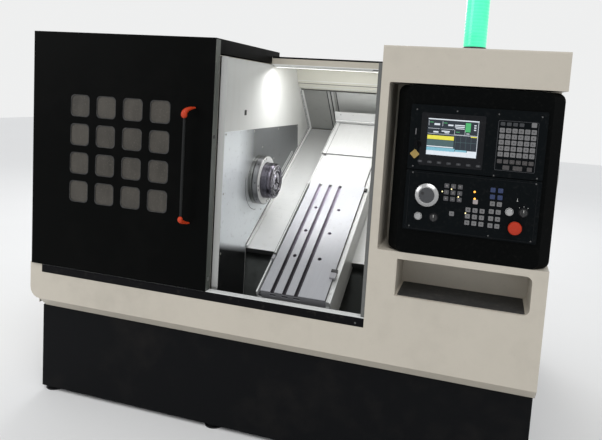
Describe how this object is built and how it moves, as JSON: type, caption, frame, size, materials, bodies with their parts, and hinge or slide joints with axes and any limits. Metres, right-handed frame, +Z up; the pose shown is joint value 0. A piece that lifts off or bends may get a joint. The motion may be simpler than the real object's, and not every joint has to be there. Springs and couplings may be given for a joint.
{
  "type": "cnc turning lathe",
  "caption": "Slant-bed numerically controlled lathe with a sliding front door, gang tool plate with T-slots, collet spindle, side control panel and green tower light.",
  "frame": {"origin": "centre of the bounding box at floor level", "axes": "+X to the machine's right seen from the front, +Y from the front to the back, +Z up"},
  "size_m": [2.12, 1.6205, 1.9003],
  "materials": {
    "cream_paint": "satin",
    "black_paint": "satin",
    "base_paint": "satin",
    "white_paint": "satin",
    "stainless": "brushed",
    "ground_steel": "ground",
    "dark_steel": "satin",
    "cast_iron": "matte",
    "bright_steel": "polished",
    "motor_black": "satin",
    "rubber": "matte",
    "glass": "dusty",
    "orange_plastic": "satin",
    "grey_plastic": "satin",
    "box_plastic": "satin",
    "screen_glass": "gloss",
    "silver_knob": "satin",
    "red_plastic": "satin",
    "brass": "satin",
    "green_lens": "gloss",
    "tank_paint": "satin"
  },
  "bodies": {
    "frame": {"base_frame": "base_paint", "bed_casting": "cast_iron", "chip_pan": "base_paint", "front_frame": "cream_paint", "left_cover": "cream_paint", "rear_cover": "cream_paint", "right_cover": "cream_paint", "lintel": "white_paint", "bulkhead": "white_paint", "spindle_plate": "stainless", "bulkhead_trim": "stainless", "inner_rear_panel": "stainless", "inner_right_wall": "white_paint", "column_seal": "rubber", "sill_strip": "bright_steel", "door_rail": "dark_steel", "top_rail": "dark_steel", "headstock": "cast_iron", "bearing_cover": "bright_steel", "spindle_motor": "motor_black", "z_motor": "motor_black", "control_box": "box_plastic", "upper_unit": "grey_plastic", "screen": "screen_glass", "lower_unit": "grey_plastic", "tower_light": "green_lens", "work_lamp": "white_paint", "electrical_tub": "cream_paint", "drive_belt": "rubber"},
    "door": {"door_panel": "black_paint", "door_glass": "glass", "handle_bar": "grey_plastic", "handle_cap_top": "orange_plastic", "handle_cap_bottom": "orange_plastic"},
    "spindle": {"spindle_shaft": "ground_steel", "nose_cap": "ground_steel", "spindle_pulley": "cast_iron"},
    "collet_body": {"collet": "bright_steel"},
    "motor_rotor": {"motor_pulley": "cast_iron"},
    "saddle_body": {"saddle": "cast_iron", "way_cover_left": "stainless", "way_cover_right": "stainless", "rear_shield": "stainless", "x_motor": "motor_black"},
    "left_mid_body": {"way_cover_left_mid": "stainless"},
    "right_mid_body": {"way_cover_right_mid": "stainless"},
    "cross_body": {"cross_slide": "cast_iron", "tool_plate": "ground_steel", "slide_cover": "stainless"},
    "x_screw_body": {"x_screw": "ground_steel"},
    "z_screw_body": {"z_screw": "ground_steel"},
    "handwheel_body": {"handwheel": "silver_knob"},
    "button_left_body": {"button_left": "silver_knob"},
    "button_right_body": {"button_right": "silver_knob"},
    "selector_left_body": {"selector_left": "grey_plastic"},
    "selector_right_body": {"selector_right": "grey_plastic"},
    "stop_body": {"emergency_stop": "red_plastic"},
    "key_body": {"key_switch": "brass"},
    "back_door_body": {"back_door": "cream_paint"},
    "tank_body": {"coolant_tank": "tank_paint"}
  },
  "joints": [
    {"name": "door_slide", "type": "slide", "parent": "frame", "child": "door", "axis": [1, 0, 0], "range_m": [0, 0.631]},
    {"name": "spindle_spin", "type": "hinge", "parent": "frame", "child": "spindle", "pos_m": [-0.16, -0.24045, 0.994], "axis": [1, 0, 0], "continuous": true},
    {"name": "collet_draw", "type": "slide", "parent": "spindle", "child": "collet_body", "axis": [1, 0, 0], "range_m": [-0.003, 0.003]},
    {"name": "motor_spin", "type": "hinge", "parent": "frame", "child": "motor_rotor", "pos_m": [-0.775, 0.11393, 1.0202], "axis": [1, 0, 0], "continuous": true},
    {"name": "saddle_slide", "type": "slide", "parent": "frame", "child": "saddle_body", "axis": [1, 0, 0], "range_m": [-0.165, 0.14]},
    {"name": "left_mid_slide", "type": "slide", "parent": "frame", "child": "left_mid_body", "axis": [1, 0, 0], "range_m": [-0.0825, 0.07]},
    {"name": "right_mid_slide", "type": "slide", "parent": "frame", "child": "right_mid_body", "axis": [1, 0, 0], "range_m": [-0.0825, 0.07]},
    {"name": "z_screw_spin", "type": "hinge", "parent": "frame", "child": "z_screw_body", "pos_m": [0.14, 0.01822, 0.81598], "axis": [1, 0, 0], "continuous": true},
    {"name": "cross_slide_feed", "type": "slide", "parent": "saddle_body", "child": "cross_body", "axis": [0, 0.866, 0.5], "range_m": [0, 0.24]},
    {"name": "x_screw_spin", "type": "hinge", "parent": "saddle_body", "child": "x_screw_body", "pos_m": [0.139, -0.10938, 0.837], "axis": [0, 0.866, 0.5], "continuous": true},
    {"name": "handwheel_spin", "type": "hinge", "parent": "frame", "child": "handwheel_body", "pos_m": [0.634, -0.7395, 1.083], "axis": [0, -1, 0], "continuous": true},
    {"name": "button_left_press", "type": "slide", "parent": "frame", "child": "button_left_body", "axis": [0, 1, 0], "range_m": [0, 0.004], "stiffness_N_per_m": 300, "springref_m": -0.002},
    {"name": "button_right_press", "type": "slide", "parent": "frame", "child": "button_right_body", "axis": [0, 1, 0], "range_m": [0, 0.004], "stiffness_N_per_m": 300, "springref_m": -0.002},
    {"name": "selector_left_turn", "type": "hinge", "parent": "frame", "child": "selector_left_body", "pos_m": [0.663, -0.7395, 1.008], "axis": [0, -1, 0], "range_deg": [-45, 45]},
    {"name": "selector_right_turn", "type": "hinge", "parent": "frame", "child": "selector_right_body", "pos_m": [0.958, -0.7395, 1.059], "axis": [0, -1, 0], "range_deg": [-45, 45]},
    {"name": "stop_press", "type": "slide", "parent": "frame", "child": "stop_body", "axis": [0, 1, 0], "range_m": [0, 0.005]},
    {"name": "key_turn", "type": "hinge", "parent": "frame", "child": "key_body", "pos_m": [0.588, -0.7395, 1.262], "axis": [0, -1, 0], "range_deg": [-90, 90]},
    {"name": "back_door_hinge", "type": "hinge", "parent": "frame", "child": "back_door_body", "pos_m": [0.84, 0.7885, 0.985], "axis": [0, 0, -1], "range_deg": [0, 100]},
    {"name": "tank_slide", "type": "slide", "parent": "frame", "child": "tank_body", "axis": [0, 1, 0], "range_m": [0, 0.55]}
  ],
  "couplings": [
    {"joint": "motor_spin", "follows": "spindle_spin", "ratio": 1.3793},
    {"joint": "left_mid_slide", "follows": "saddle_slide", "ratio": 0.5},
    {"joint": "right_mid_slide", "follows": "saddle_slide", "ratio": 0.5},
    {"joint": "z_screw_spin", "follows": "saddle_slide", "rad_per_m": 628.32},
    {"joint": "x_screw_spin", "follows": "cross_slide_feed", "rad_per_m": 628.32}
  ]
}
